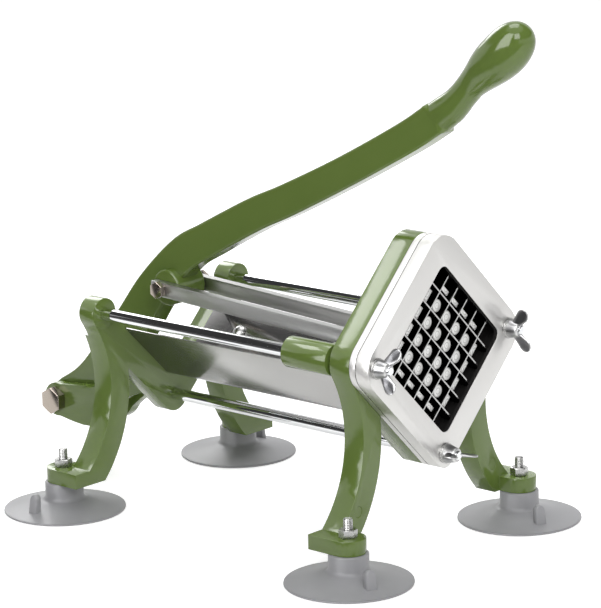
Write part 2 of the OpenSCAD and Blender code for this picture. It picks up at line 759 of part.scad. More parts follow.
// A suction cup under the stud at x, on the near or far side, its tab turned about it
module suction_cup(x, side, tab_turn) difference() {
    translate([x, side * foot_y, 0]) {
        rotate_extrude() polygon(concat(
            [[cup_r, 0], [cup_r, cup_rim_t]],
            [for (u = [0.1:0.1:1]) let (r = cup_r + (cup_neck_r + cup_rim_t - cup_r) * u)
                [r, cup_rim_t + (cup_dish_h - cup_rim_t) * (0.75 * u + 0.25 * pow(u, 3))]],
            [[cup_neck_r, cup_dish_h + cup_rim_t], [cup_neck_r, cup_h], [0, cup_h],
             [0, cup_dish_h - cup_wall], [cup_neck_r, cup_dish_h - cup_wall - cup_rim_t / 2],
             [cup_r - cup_lip, 0]]));
        rotate([0, 0, tab_turn]) translate([tab_reach, 0, tab_base]) {
            translate([-tab_t / 2, -tab_w / 2, 0]) cube([tab_t, tab_w, tab_h - tab_w / 2]);
            translate([-tab_t / 2, 0, tab_h - tab_w / 2]) rotate([0, 90, 0])
                cylinder(h = tab_t, r = tab_w / 2);
        }
    }
    translate([x, side * foot_y, foot_stud_base]) cylinder(h = cup_h, r = foot_stud_d / 2);
}

foot_stud_base = cup_dish_h;
// The tabs start inside the wall of the dish
tab_base = (cup_dish_h - cup_wall) * (cup_r - tab_reach) / (cup_r - cup_neck_r);
// Turns of the pull tabs about their cups
tab_turns = [-20, -23, -91, 98];

module suction_cup_front_near() color(rubber) placed() suction_cup(front_foot_x, -1, tab_turns[0]);

module suction_cup_front_far() color(rubber) placed() suction_cup(front_foot_x, 1, tab_turns[1]);

module suction_cup_rear_near() color(rubber) placed() suction_cup(rear_foot_x, -1, tab_turns[2]);

module suction_cup_rear_far() color(rubber) placed() suction_cup(rear_foot_x, 1, tab_turns[3]);

foot_places = [for (x = [front_foot_x, rear_foot_x], side = [-1, 1]) [x, side * foot_y]];

module foot_studs() color(steel) placed() for (p = foot_places)
    translate([p[0], p[1], foot_stud_base])
        cylinder(h = foot_stud_top - foot_stud_base, r = foot_stud_d / 2 - running_fit / 2);

module foot_nuts() color(steel) placed() for (p = foot_places)
    translate([p[0], p[1], pad_top_z]) difference() {
        rotate(15) hex(foot_nut_af, foot_nut_t);
        translate([0, 0, -over])
            cylinder(h = foot_nut_t + 2 * over, r = foot_stud_d / 2 + running_fit);
    }

front_frame();
rear_frame();
trough();
trough_screw();
trough_nut();
guide_rod_near();
guide_rod_far();
tie_rod();
rod_nuts();
blade_holder_front();
blade_holder_rear();
blades_rising();
blades_falling();
holder_washers();
wing_nut_near();
wing_nut_far();
wing_nut_bottom();
pusher_carriage();
pusher_head();
pusher_head_screws();
lever();
pivot_bolt();
pivot_nut();
link_near();
link_far();
link_bolt();
link_nut();
carriage_bolts();
suction_cup_front_near();
suction_cup_front_far();
suction_cup_rear_near();
suction_cup_rear_far();
foot_studs();
foot_nuts();
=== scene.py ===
import json
import bpy
import bmesh
import numpy as np
from mathutils import Matrix, Vector


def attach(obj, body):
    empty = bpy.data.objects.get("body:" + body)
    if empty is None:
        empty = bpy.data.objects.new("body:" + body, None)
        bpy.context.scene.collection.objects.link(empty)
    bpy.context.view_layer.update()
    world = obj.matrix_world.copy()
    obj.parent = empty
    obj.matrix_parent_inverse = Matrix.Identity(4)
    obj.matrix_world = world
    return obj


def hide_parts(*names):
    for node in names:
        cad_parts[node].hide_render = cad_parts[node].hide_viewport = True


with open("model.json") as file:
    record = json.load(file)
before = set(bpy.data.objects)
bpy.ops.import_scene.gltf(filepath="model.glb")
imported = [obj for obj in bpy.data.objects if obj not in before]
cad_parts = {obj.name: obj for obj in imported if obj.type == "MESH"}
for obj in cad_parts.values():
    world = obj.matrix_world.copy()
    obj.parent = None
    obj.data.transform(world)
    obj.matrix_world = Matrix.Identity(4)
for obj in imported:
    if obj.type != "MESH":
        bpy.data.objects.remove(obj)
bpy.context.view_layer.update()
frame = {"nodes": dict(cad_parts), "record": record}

MM = 0.001
NODES_X = 134.228                   # mm from the blades' front edges to the origin
PHOTO_W, PHOTO_H = 601, 608
FOCAL_PX = 3125.04
AXIS_PX = (302.78, 305.06)          # where the lens's axis meets the photograph
EYE = (1182.67, -1426.38, 602.20)   # mm, with X counted from the blades' front edges

az, el, roll = np.radians([42.25, 13.47, -1.30])
look = np.array([-np.sin(az) * np.cos(el), np.cos(az) * np.cos(el), -np.sin(el)])
level = np.cross(look, [0, 0, 1])
level /= np.linalg.norm(level)
up = np.cross(level, look)
across = level * np.cos(roll) + up * np.sin(roll)
upright = -level * np.sin(roll) + up * np.cos(roll)
camera = bpy.data.objects.new("camera", bpy.data.cameras.new("camera"))
bpy.context.scene.collection.objects.link(camera)
eye_point = (np.array(EYE) + [NODES_X, 0, 0]) * MM
placing = np.eye(4)
placing[:3, 0], placing[:3, 1], placing[:3, 2], placing[:3, 3] = across, upright, -look, eye_point
camera.matrix_world = Matrix(placing.tolist())
camera.data.sensor_fit = "HORIZONTAL"
camera.data.lens = FOCAL_PX * camera.data.sensor_width / PHOTO_W
camera.data.shift_x = (PHOTO_W / 2 - AXIS_PX[0]) / PHOTO_W
camera.data.shift_y = (AXIS_PX[1] - PHOTO_H / 2) / PHOTO_W
camera.data.clip_start, camera.data.clip_end = 0.1, 20
bpy.context.scene.camera = camera

# Front casting
# The front frame: a diamond-shaped plate on two bowed legs with foot pads, one iron casting
# under olive-green enamel. Enamel flows back from edges, so every edge is round and bright.


def linear(code):
    """An sRGB hex colour such as "#5f7340" as linear RGBA: each channel through the sRGB curve."""
    c = np.array([int(code[i:i + 2], 16) for i in (1, 3, 5)]) / 255
    return (*np.where(c <= 0.04045, c / 12.92, ((c + 0.055) / 1.055) ** 2.4).tolist(), 1.0)


def add(tree, kind, links=None, **values):
    """Adds one node: values set its attributes, then its inputs, by name or as i0, i1 and so on;
    links joins its inputs to outputs."""
    n = tree.nodes.new(kind)
    for key, value in values.items():
        if hasattr(n, key):
            setattr(n, key, value)
    for key, value in values.items():
        if not hasattr(n, key):
            socket = int(key[1:]) if key[0] == "i" and key[1:].isdigit() else key.replace("_", " ")
            n.inputs[socket].default_value = value
    for key, value in (links or {}).items():
        tree.links.new(value, n.inputs[key])
    return n


def parts_of(tree, vector):
    """The X, Y and Z of a vector."""
    return add(tree, "ShaderNodeSeparateXYZ", {"Vector": vector}).outputs


def calc(tree, operation, *terms):
    """The result of one math node over its terms, each an output of another node or a number."""
    links = {i: term for i, term in enumerate(terms) if isinstance(term, bpy.types.NodeSocket)}
    numbers = {f"i{i}": term for i, term in enumerate(terms) if i not in links}
    return add(tree, "ShaderNodeMath", links, operation=operation, **numbers).outputs[0]


def ramp(tree, value, low, high, to_low=0.0, to_high=1.0):
    """A value carried in proportion from low...high to to_low...to_high, and held at the ends."""
    ends = {"i1": low, "i2": high, "i3": to_low, "i4": to_high}
    return add(tree, "ShaderNodeMapRange", {"Value": value}, **ends).outputs["Result"]


def blend(tree, factor, low, high):
    """A colour that goes from one sRGB code to another as the factor goes from 0 to 1."""
    ends = {"i6": linear(low), "i7": linear(high)}
    return add(tree, "ShaderNodeMix", {"Factor": factor}, data_type="RGBA", **ends).outputs[2]


def noise(tree, place, size, detail, stretch=None):
    """Noise from 0 to 1 with grains of `size` millimetres, longer along an axis that is stretched
    by a scale below 1."""
    if stretch:
        place = add(tree, "ShaderNodeMapping", {"Vector": place}, Scale=stretch).outputs["Vector"]
    scale = 1 / (size * MM)
    return add(tree, "ShaderNodeTexNoise", {"Vector": place}, Scale=scale, Detail=detail).outputs["Fac"]


def bump(tree, height, strength, depth, under=None):
    """A normal bent by a height map that is `depth` millimetres deep, over another one if given."""
    links = {"Height": height, "Normal": under} if under else {"Height": height}
    return add(tree, "ShaderNodeBump", links, Strength=strength, Distance=depth * MM).outputs["Normal"]


def drive(tree, shader, **sockets):
    """Joins outputs to the shader's inputs, with _ for the space in an input's name."""
    for key, socket in sockets.items():
        tree.links.new(socket, shader.inputs[key.replace("_", " ")])


def finish_of(name, colour, metallic, roughness, **more):
    """A new material with its shader set, and the parts that a pattern needs: tree, shader, place."""
    m = bpy.data.materials.new(name)
    m.use_nodes = True
    tree = m.node_tree
    shader = tree.nodes["Principled BSDF"]
    shader.inputs["Base Color"].default_value = linear(colour)
    shader.inputs["Metallic"].default_value = metallic
    shader.inputs["Roughness"].default_value = roughness
    for key, value in more.items():
        shader.inputs[key.replace("_", " ")].default_value = value
    place = add(tree, "ShaderNodeTexCoord").outputs["Object"]
    return m, tree, shader, place


# Glossy stove enamel over a sand casting: a hard clear film with a faint orange peel every
# 2.5 mm, over the slow swell that the sand leaves, about 14 mm long.
enamel, t, shader, place = finish_of("olive_enamel", "#5c6d3c", 0.0, 0.11, IOR=1.52)
swell = noise(t, place, 14, 2.0)
peel = bump(t, noise(t, place, 2.5, 1.0), 0.05, 0.3)
drive(t, shader, Base_Color=blend(t, noise(t, place, 45, 3.0), "#5d7233", "#667a3b"),
      Roughness=ramp(t, swell, 0, 1, 0.09, 0.18), Normal=bump(t, swell, 0.16, 0.8, peel))


def show(piece, body, material):
    """Gives a finished piece its material and its body."""
    piece.data.materials.clear()
    piece.data.materials.append(material)
    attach(piece, body)


def body_of(node):
    """The body that a CAD node is in."""
    return next(b for b, members in frame["record"]["behaviour"]["bodies"].items() if node in members)


SAME_POINT = 2e-6          # m, within which the corners of neighbouring facets are one
FLAT = 0.4                 # degrees, below which two facets are one face


def dress(node, name, material, edge=0.0, sharp=30.0, steps=3):
    """A merged copy of a CAD node stands for it: flat facets joined, smooth up to the angle
    `sharp`, and its sharper edges rounded by `edge` millimetres."""
    mesh = frame["nodes"][node].data.copy()
    mesh.name = name
    bm = bmesh.new()
    bm.from_mesh(mesh)
    bmesh.ops.remove_doubles(bm, verts=bm.verts, dist=SAME_POINT)
    bmesh.ops.dissolve_limit(bm, angle_limit=np.radians(FLAT), verts=bm.verts, edges=bm.edges)
    bm.to_mesh(mesh)
    bm.free()
    mesh.shade_smooth()
    piece = bpy.data.objects.new(name, mesh)
    bpy.context.scene.collection.objects.link(piece)
    if edge:
        cut = piece.modifiers.new("rounded_edges", "BEVEL")
        cut.width, cut.segments = edge * MM, steps
        cut.limit_method, cut.angle_limit = "ANGLE", np.radians(sharp)
        cut.harden_normals = True
        cut.use_clamp_overlap = True
    else:
        mesh.set_sharp_from_angle(angle=np.radians(sharp))
    show(piece, body_of(node), material)
    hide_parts(node)


dress("front_frame", "front_casting", enamel, edge=1.2)

# Rear casting
# The rear frame: a V-shaped web between two bowed legs, bosses for the rods, and two ears
# behind it for the lever's pivot. Cast and enamelled as the front one.
dress("rear_frame", "rear_casting", enamel, edge=1.0)

# Lever
# A cast iron lever: a flat bar with rounded edges, curved up from its pivot, which runs into a
# round, swollen hand grip. A boss on each side carries the links.


def surface(name, points):
    """A mesh over a grid of points with rows u and columns v: four neighbours make a face, and the
    columns close into a ring. Points that meet are welded, and the faces are turned outwards."""
    nu, nv = points.shape[:2]
    u, v = np.meshgrid(np.arange(nu - 1), np.arange(nv), indexing="ij")
    u2, v2 = u + 1, (v + 1) % nv
    quads = np.stack([u * nv + v, u2 * nv + v, u2 * nv + v2, u * nv + v2], -1).reshape(-1, 4)
    mesh = bpy.data.meshes.new(name)
    mesh.from_pydata((points.reshape(-1, 3) * MM).tolist(), [], quads.tolist())
    bm = bmesh.new()
    bm.from_mesh(mesh)
    bmesh.ops.remove_doubles(bm, verts=bm.verts, dist=SAME_POINT / 2)
    bmesh.ops.recalc_face_normals(bm, faces=bm.faces)
    bm.to_mesh(mesh)
    bm.free()
    mesh.shade_smooth()
    return mesh


def piece_of(name, meshes, sharp=40.0):
    """One object made of several meshes, with edges sharper than the angle kept crisp."""
    bm = bmesh.new()
    for mesh in meshes:
        bm.from_mesh(mesh)
        bpy.data.meshes.remove(mesh)
    whole = bpy.data.meshes.new(name)
    bm.to_mesh(whole)
    bm.free()
    whole.shade_smooth()
    whole.set_sharp_from_angle(angle=np.radians(sharp))
    piece = bpy.data.objects.new(name, whole)
    bpy.context.scene.collection.objects.link(piece)
    return piece


def turned(profile, steps=64):
    """Surface of revolution about local Z: each row (r, z) becomes (r cos a, r sin a, z)."""
    profile = np.asarray(profile, float)
    a = np.linspace(0, 2 * np.pi, steps, endpoint=False)
    r, z = profile[:, :1], profile[:, 1:]
    return np.stack([r * np.cos(a), r * np.sin(a), z + 0 * a], -1)


def set_at(points, at, axis="z", turn=0.0):
    """Moves points made about local Z: turned about Z by `turn` degrees, Z laid along the world's
    axis, then shifted. `at` is in mm with X counted from the blades' front edges."""
    c, s = np.cos(np.radians(turn)), np.sin(np.radians(turn))
    p = points @ np.array([[c, s, 0], [-s, c, 0], [0, 0, 1]])
    laid = {"z": np.eye(3), "x": np.array([[0, 1, 0], [0, 0, 1], [1, 0, 0]]),
            "y": np.array([[0, 0, 1], [1, 0, 0], [0, 1, 0]])}[axis]
    return p @ laid + np.array(at) + [NODES_X, 0, 0]


def smooth_rows(rows, per_row):
    """A Catmull-Rom curve through the rows: cubic between neighbours, with the chord as slope."""
    k = np.linspace(0, len(rows) - 1, per_row * (len(rows) - 1) + 1)
    i = np.minimum(k.astype(int), len(rows) - 2)
    s = (k - i)[:, None]
    a, b, c, d = rows[np.maximum(i - 1, 0)], rows[i], rows[i + 1], rows[np.minimum(i + 2, len(rows) - 1)]
    return 0.5 * (2 * b + (c - a) * s + (2 * a - 5 * b + 4 * c - d) * s ** 2
                  + (3 * b - a - 3 * c + d) * s ** 3)


PIVOT = np.array([-327.0, 0, 47.0])
LINK_BOLT = np.array([-222.038, 0, 138.887])
GRIP_START = np.array([324, 223])   # mm from the pivot to the start of the grip, along and up
EYE_R, EYE_BACK = 13, 12.95         # radius of the eye behind the pivot, and how far back it goes
BAR_HALF_T, BAR_EDGE_R, EYE_EDGE_R = 7.5, 1.8, 2.6
GRIP_R = 14.25
NOSE_L, NOSE_RISE, NOSE_POWER = 23.4, 0.6, 2.3

# Rows of the bar's spine from the pivot to the grip: shares of the reach, the rise and the width
spine_shares = [[0, 0, 1], [.08, .075, 1.06], [.194, .26, 1.11], [.264, .389, 1.04], [.349, .509, .93],
                [.423, .57, .88], [.553, .668, .84], [.646, .728, .81], [.794, .833, .77],
                [.937, .944, .77]]
spine = np.array(spine_shares) * [*GRIP_START, EYE_R]

climb = np.radians(41)
along_grip = np.array([np.cos(climb), np.sin(climb)])
over_grip = np.array([-np.sin(climb), np.cos(climb)])
# The grip, measured along a line that climbs at 41 degrees: distance, centre off that line, radius
neck = np.array([[0, -.1, 10.3], [6.4, -.5, 10.5], [12.5, -1.1, 10.3], [17, -1.6, 10], [22.4, -1.7, 9.4],
                 [28.4, -1.3, 8.9], [34, -.8, 8.9], [39.4, -.3, 9.2], [46, -.2, 10.4], [54.5, -.2, 12.4],
                 [63, -.5, 13.8], [71, -.8, GRIP_R]])
neck_centres = GRIP_START + neck[:, :1] * along_grip + neck[:, 1:2] * over_grip
bar = smooth_rows(np.vstack([spine, np.column_stack([neck_centres, neck[:, 2]])]), 12)

# Each row gets its half thickness and the radius of its edges. The bar is flat with small round
# edges; past a crisp line, 4 mm along the grip, it swells to a circle over 24 mm.
CRISP, ROUND_L, SWELL_L = 4, 4, 24
past = (bar[:, :2] - GRIP_START) @ along_grip - CRISP
round_share, swell_share = np.clip(past / ROUND_L, 0, 1), np.clip(past / SWELL_L, 0, 1)
half_thick = BAR_HALF_T + (bar[:, 2] - BAR_HALF_T) * swell_share
bar = np.column_stack([bar, half_thick, BAR_EDGE_R + (bar[:, 2] - BAR_EDGE_R) * round_share])

# The nose of the grip is a superellipse that rises back to the line
reach = np.sin(np.linspace(0, np.pi / 2, 18)[1:])[:, None]
radius = GRIP_R * np.clip(1 - reach ** NOSE_POWER, 0, 1) ** (1 / NOSE_POWER)
neck_l, neck_off = neck[-1, 0], neck[-1, 1]
nose_off = neck_off + NOSE_RISE * reach
nose_centres = GRIP_START + (neck_l + NOSE_L * reach) * along_grip + nose_off * over_grip
nose = np.hstack([nose_centres, radius, radius, radius])

# The eye behind the pivot is half a disc
a = np.radians(np.linspace(0, 84, 15))
eye = np.column_stack([-EYE_BACK * np.cos(a), 0 * a, EYE_R * np.sin(a), BAR_HALF_T + 0 * a,
                       np.minimum(EYE_EDGE_R, EYE_R * np.sin(a))])
rows = np.vstack([eye, bar, nose])
slope = np.gradient(rows[:, :2], axis=0)
slope[:len(eye) + 1] = [1, 0]
slope /= np.linalg.norm(slope, axis=1)[:, None]
# From just before the crisp line the sections stand square to the grip
SQUARE_FROM, SQUARE_L = 14, 16
square = np.clip(((rows[:, :2] - GRIP_START) @ along_grip + SQUARE_FROM) / SQUARE_L, 0, 1)[:, None]
slope = slope * (1 - square) + along_grip * square
slope /= np.linalg.norm(slope, axis=1)[:, None]


def rounded_section(half_w, half_t, corner, steps=8):
    """Rectangle with round corners as one ring: four quarter arcs of radius `corner` about the
    points half_w - corner, half_t - corner. With equal sizes it is a circle."""
    a = np.radians(np.concatenate([np.linspace(q, q + 90, steps) for q in (0, 90, 180, 270)]))
    quarter = np.repeat([0, 1, 2, 3], steps)
    sx, sy = np.array([1, -1, -1, 1])[quarter], np.array([1, 1, -1, -1])[quarter]
    return sx * (half_w - corner) + corner * np.cos(a), sy * (half_t - corner) + corner * np.sin(a)


half_w, half_t, corner = rows[:, 2:3], rows[:, 3:4], rows[:, 4:5]
w, thick = rounded_section(half_w, half_t, np.minimum(corner, np.minimum(half_w, half_t)))
ring = np.stack([rows[:, :1] - slope[:, 1:] * w, thick, rows[:, 1:2] + slope[:, :1] * w], -1)
arm = surface("lever_bar", ring + PIVOT + [NODES_X, 0, 0])


def drum(radius, half, lip):
    """Profile of a round boss: flat ends, with quarter arcs of radius `lip` at both rims."""
    a = np.radians(np.linspace(0, 90, 6))
    top = np.column_stack([radius - lip + lip * np.sin(a), half - lip + lip * np.cos(a)])
    return np.vstack([[[0, half]], top, top[::-1] * [1, -1], [[0, -half]]])


BOSS_R, BOSS_HALF, BOSS_LIP = 12, 12.5, 1.4
boss = surface("lever_boss", set_at(turned(drum(BOSS_R, BOSS_HALF, BOSS_LIP)), LINK_BOLT, "y"))
lever = piece_of("lever_casting", [arm, boss])
level_out = lever.modifiers.new("flat_faces", "WEIGHTED_NORMAL")
level_out.keep_sharp = True
show(lever, "lever", enamel)
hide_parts("lever")

# Pusher carriage
# The carriage: a cast plate behind the toothed head, with a lug for the links and a long sleeve
# on each guide rod. Enamelled; the sleeves are bored to a running fit.
dress("pusher_carriage", "carriage_casting", enamel, edge=0.8)

# Toothed head
# A cast aluminium plate with a tooth for each cell of the grid. Only the tooth ends are turned,
# so they are bright with a fine ring and a centre mark; the rest is painted near black as painted shade.
GRID_Z = 129.2             # height of the middle of the blade grid
CELL = 12.7                # pitch of the grid, whose rows run at 45 degrees
ENDS_FROM = 3.1            # what lies less than this behind the blades' front edges is bright
RING_PITCH = 1.9
head_metal, t, shader, place = finish_of("cast_aluminium_turned_ends_painted_shade", "#c9c9c6", 0.6, 0.50)
at_end = calc(t, "GREATER_THAN", parts_of(t, place)["X"], (NODES_X - ENDS_FROM) * MM)
# Rings about each tooth: the grid turned by 45 degrees, folded at each cell, then the distance
cell = CELL * MM
grid = add(t, "ShaderNodeMapping", {"Vector": place}, vector_type="TEXTURE",
           Location=(0, 0, GRID_Z * MM), Rotation=(np.radians(45), 0, 0))
folded = add(t, "ShaderNodeVectorMath", {0: grid.outputs["Vector"]}, operation="WRAP",
             i1=(1, cell, cell), i2=(-1, 0, 0))
centred = add(t, "ShaderNodeVectorMath", {0: folded.outputs["Vector"]}, operation="MULTIPLY_ADD",
              i1=(0, 1, 1), i2=(0, -cell / 2, -cell / 2))
away = add(t, "ShaderNodeVectorMath", {0: centred.outputs["Vector"]}, operation="LENGTH").outputs["Value"]
wave = calc(t, "COSINE", calc(t, "MULTIPLY", away, 2 * np.pi / (RING_PITCH * MM)))
turned_end = blend(t, ramp(t, wave, 0.55, 0.95), "#ededeb", "#bdbdbb")
# Painted shade: behind the tooth ends the head is near black, standing in for the shade between the teeth
turned_ends_on_painted_shade = add(t, "ShaderNodeMix", {"Factor": at_end, 7: turned_end}, data_type="RGBA", i6=linear("#121212"))
drive(t, shader, Base_Color=turned_ends_on_painted_shade.outputs[2])
dress("pusher_head", "toothed_head", head_metal, edge=0.35, steps=2)

# Blade holder
# Two thick square plates with round corners that clamp the blades between them. Cast aluminium,
# ground and buffed to a satin; the seams and the walls of the window are painted near black as painted shade.
SEAMS, SEAM_HALF = (-7.3, -12.3), 0.28      # behind the front plate and behind the rear one
WINDOW_REACH, WALLS_TO = 43, 2.7            # half width of the square of painted shade, and where it ends in X
satin, t, shader, place = finish_of("satin_aluminium", "#d9d8d6", 1.0, 0.42)
where = parts_of(t, place)
seams = [calc(t, "COMPARE", where["X"], (NODES_X + x) * MM, SEAM_HALF * MM) for x in SEAMS]
# The window stands on a corner, so |y| + |z| is the same all along its sides
over_mid = calc(t, "SUBTRACT", where["Z"], GRID_Z * MM)
corner_way = calc(t, "ADD", calc(t, "ABSOLUTE", where["Y"]), calc(t, "ABSOLUTE", over_mid))
in_window = calc(t, "LESS_THAN", corner_way, WINDOW_REACH * MM * np.sqrt(2))
walls = calc(t, "MULTIPLY", in_window, calc(t, "LESS_THAN", where["X"], (NODES_X + WALLS_TO) * MM))
# Painted shade: the seams between the plates and the walls of the window are made near black and matt
painted_seam_and_wall_shade = calc(t, "MAXIMUM", calc(t, "MAXIMUM", *seams), walls)
grain = add(t, "ShaderNodeMapping", {"Vector": place}, Rotation=(np.radians(45), 0, 0), Scale=(1, 1, 0.06))
scratch = noise(t, grain.outputs["Vector"], 0.6, 2.0)
drive(t, shader, Base_Color=blend(t, painted_seam_and_wall_shade, "#d9d8d6", "#1c1a19"), Metallic=calc(t, "SUBTRACT", 1.0, painted_seam_and_wall_shade),
      Roughness=calc(t, "MAXIMUM", ramp(t, scratch, 0, 1, 0.36, 0.50), painted_seam_and_wall_shade),
      Normal=bump(t, scratch, 0.06, 0.1))
dress("blade_holder_front", "front_plate", satin, edge=0.8)
dress("blade_holder_rear", "rear_plate", satin, edge=0.5)

# Blades
# Strips of hardened stainless steel, notched half way into each other, ground to an edge at the
# back, where the potato meets them. Their sides are painted dark as painted shade; the front edges are
# bright.
EDGE_W = 0.12
blade_steel, t, shader, place = finish_of("stainless_strip_painted_shade", "#d3d4d5", 1.0, 0.20)
edge = calc(t, "GREATER_THAN", parts_of(t, place)["X"], (NODES_X - EDGE_W) * MM)
# Painted shade: the blades' sides are near black, and only the front edges are bright
drive(t, shader, Base_Color=blend(t, edge, "#2b2a29", "#b9b9b8"),
      Roughness=ramp(t, noise(t, place, 0.8, 1.0, (0.05, 1, 1)), 0, 1, 0.14, 0.28))
dress("blades_rising", "rising_blades", blade_steel, sharp=6)
dress("blades_falling", "falling_blades", blade_steel, sharp=6)

# Trough
# The trough that the potato lies in: one sheet of bright cold-rolled steel, bent to a V along
# the rods, with the rolling lines along its length.


def bare_metal(name, colour, roughness, size, detail, low, high, stretch=None):
    """A metal whose roughness wanders from low to high, over noise with grains of `size` mm."""
    metal, tree, shader, place = finish_of(name, colour, 1.0, roughness)
    haze = noise(tree, place, size, detail, stretch)
    drive(tree, shader, Roughness=ramp(tree, haze, 0, 1, low, high))
    return metal, tree, shader, place


sheet_steel, t, shader, place = bare_metal("bright_rolled_sheet", "#bab9b8", 0.20, 1.2, 2.0, 0.15, 0.27,
                                           (0.03, 1, 1))
drive(t, shader, Normal=bump(t, noise(t, place, 50, 1.0), 0.08, 0.8))
dress("trough", "potato_trough", sheet_steel, edge=0.2, steps=2)

# Rods
# Two guide rods and the lower tie rod: cold-drawn bar, ground and hard-chromed, with a threaded
# stud on each end and a rolled, zinc-plated nut behind the web.
chrome = bare_metal("hard_chrome", "#e6e7e9", 0.07, 4, 2.0, 0.04, 0.11)[0]
zinc = bare_metal("bright_zinc", "#b4b4b3", 0.26, 1.5, 3.0, 0.18, 0.36)[0]


def threaded(z0, z1, radius, pitch=1.0, depth=0.2, steps=36, per_pitch=8):
    """A screw thread along local Z: r = radius - depth * (1 + cos(2 pi z / pitch - angle)) / 2, which
    fades to a plain core at both ends, where a small cone and a flat close it."""
    cone = 0.4
    z = np.linspace(z0 + cone, z1 - cone, int(abs(z1 - z0) / pitch * per_pitch))[:, None]
    a = np.linspace(0, 2 * np.pi, steps, endpoint=False)[None, :]
    fade = np.clip(np.minimum(z - z0, z1 - z) / pitch - 0.4, 0, 1)
    r = radius - depth * (1 - fade * 0.5 * (1 - np.cos(2 * np.pi * z / pitch - a)))
    body = np.stack([r * np.cos(a), r * np.sin(a), z + 0 * a], -1)
    lower, upper = (turned([[0, end], [radius - depth - cone, end]], steps) for end in (z0, z1))
    return np.concatenate([lower, body, upper[::-1]])


ROD_PLACES = [(-63.006, 130.4), (63.006, 130.4), (0.0, 63.666)]     # Y and Z of each rod
ROD_STARTS = (-228.6, -228.6, -229)                                 # X of their rear shoulders
PLATE_FRONT, WEB_BACK, FRAME_BACK = 3.1, -241.4, -27.8
ROD_R, ROD_LIP, STUD_R = 4.0, 0.4, 3.0
NOSE_OUT, TAIL_OUT, TUCK = 10.7, 7.5, 1     # studs past the plate and the web, and inside the bar
NUT_FLATS, NUT_BORE, NUT_H = 10, 2.4, 5
a = np.radians(np.linspace(0, 90, 5))
for name, (y, z), start in zip(("guide_rod_near", "guide_rod_far", "tie_rod"), ROD_PLACES, ROD_STARTS):
    waist = ROD_R - ROD_LIP
    rear = np.column_stack([waist + ROD_LIP * np.sin(a), start + ROD_LIP - ROD_LIP * np.cos(a)])
    fore = np.column_stack([waist + ROD_LIP * np.cos(a), FRAME_BACK - ROD_LIP + ROD_LIP * np.sin(a)])
    shank = turned(np.vstack([[[0, start]], rear, fore, [[0, FRAME_BACK]]]), 72)
    stud_front = threaded(FRAME_BACK - TUCK, PLATE_FRONT + NOSE_OUT, STUD_R)
    stud_rear = threaded(WEB_BACK - TAIL_OUT, start + TUCK, STUD_R)
    rod = piece_of(name + "_bar", [surface("rod_part", set_at(part, (0, y, z), "x"))
                                   for part in (shank, stud_front, stud_rear)])
    show(rod, "frame", chrome)
    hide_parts(name)


def hexagon(flats, height, bore, steps=12):
    """A six-sided nut about local Z: the radius follows a hexagon, flats / (2 cos of the angle
    from the nearest flat), and a 30 degree cone takes its corners off at both ends."""
    a = np.linspace(0, 2 * np.pi, 6 * steps, endpoint=False)
    r = flats / 2 / np.cos((a + np.pi / 6) % (np.pi / 3) - np.pi / 6)
    inner, edge = np.full_like(a, bore), np.full_like(a, flats / 2 * 0.95)
    drop = (r - edge) * np.tan(np.radians(30))
    bottom, top = np.zeros_like(a), np.full_like(a, height)
    levels = [(inner, bottom), (edge, bottom), (r, drop), (r, height - drop), (edge, top), (inner, top)]
    return np.stack([np.stack([q * np.cos(a), q * np.sin(a), h], -1) for q, h in levels])


rod_nut = hexagon(NUT_FLATS, NUT_H, NUT_BORE)
rod_nuts = piece_of("rod_end_nuts", [surface("nut", set_at(rod_nut, (WEB_BACK - NUT_H, y, z), "x"))
                                     for y, z in ROD_PLACES], sharp=25)
show(rod_nuts, "frame", zinc)
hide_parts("rod_nuts")

# Washers and wing nuts
# Three forged wing nuts with plain washers hold the blade holder on. Their two wings sweep
# forward in a V, with dished faces.
WASHER_T, WASHER_BORE, WASHER_LIP = 1.2, 3.2, 0.3
NUT_GAP = 0.02             # keeps the hub's face off the washer's
a = np.radians(np.linspace(0, 90, 4))
rim = np.column_stack([6.2 + WASHER_LIP * np.cos(a), WASHER_T - WASHER_LIP + WASHER_LIP * np.sin(a)])
washer = turned(np.vstack([[[WASHER_BORE, 0], [6.4, 0]], rim, [[WASHER_BORE, WASHER_T]]]), 48)
washers = piece_of("plain_washers", [surface("washer", set_at(washer, (PLATE_FRONT, y, z), "x"))
                                     for y, z in ROD_PLACES])
show(washers, "frame", zinc)
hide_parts("holder_washers")


def wing(side):
    """One wing of a wing nut: an oval section, wide and thin, carried along a straight path that
    leaves the hub at 45 degrees; it widens to the tip, a half circle, and its faces are dished."""
    s = np.linspace(0, 1, 40)[:, None]
    a = np.linspace(0, 2 * np.pi, 36, endpoint=False)[None, :]
    out, forward = 2.0 + 11.0 * s, 3.6 + 10.4 * s
    tip_from = 0.68
    tip = np.sqrt(np.clip(1 - np.clip((s - tip_from) / (1 - tip_from), 0, 1) ** 2, 0, 1))
    wide = (2.9 + 1.5 * np.clip(s / tip_from, 0, 1) ** 1.3) * tip
    dish = 1 - 0.55 * np.clip(s * 3 - 0.6, 0, 1) * np.abs(np.sin(a)) ** 3
    thick = (1.9 - 0.75 * np.clip(s * 1.6, 0, 1)) * np.maximum(tip, 0.02) ** 0.3 * dish
    lean_out, lean_forward = 0.68, 0.73
    return np.stack([side * (out - wide * np.cos(a) * lean_out), thick * np.sin(a),
                     forward + wide * np.cos(a) * lean_forward], -1)


# Zinc diecast: the faces are painted a darker grey as a painted dark reflection, and the rims and the
# hub's edge are painted bright where they are pointed, as a painted highlight
cast_zinc, t, shader, place = finish_of("zinc_diecast_painted_rim_highlight", "#8c8c8c", 1.0, 0.34)
bend = add(t, "ShaderNodeNewGeometry").outputs["Pointiness"]
drive(t, shader, Base_Color=blend(t, ramp(t, bend, 0.50, 0.56), "#77777a", "#e9e9e8"))
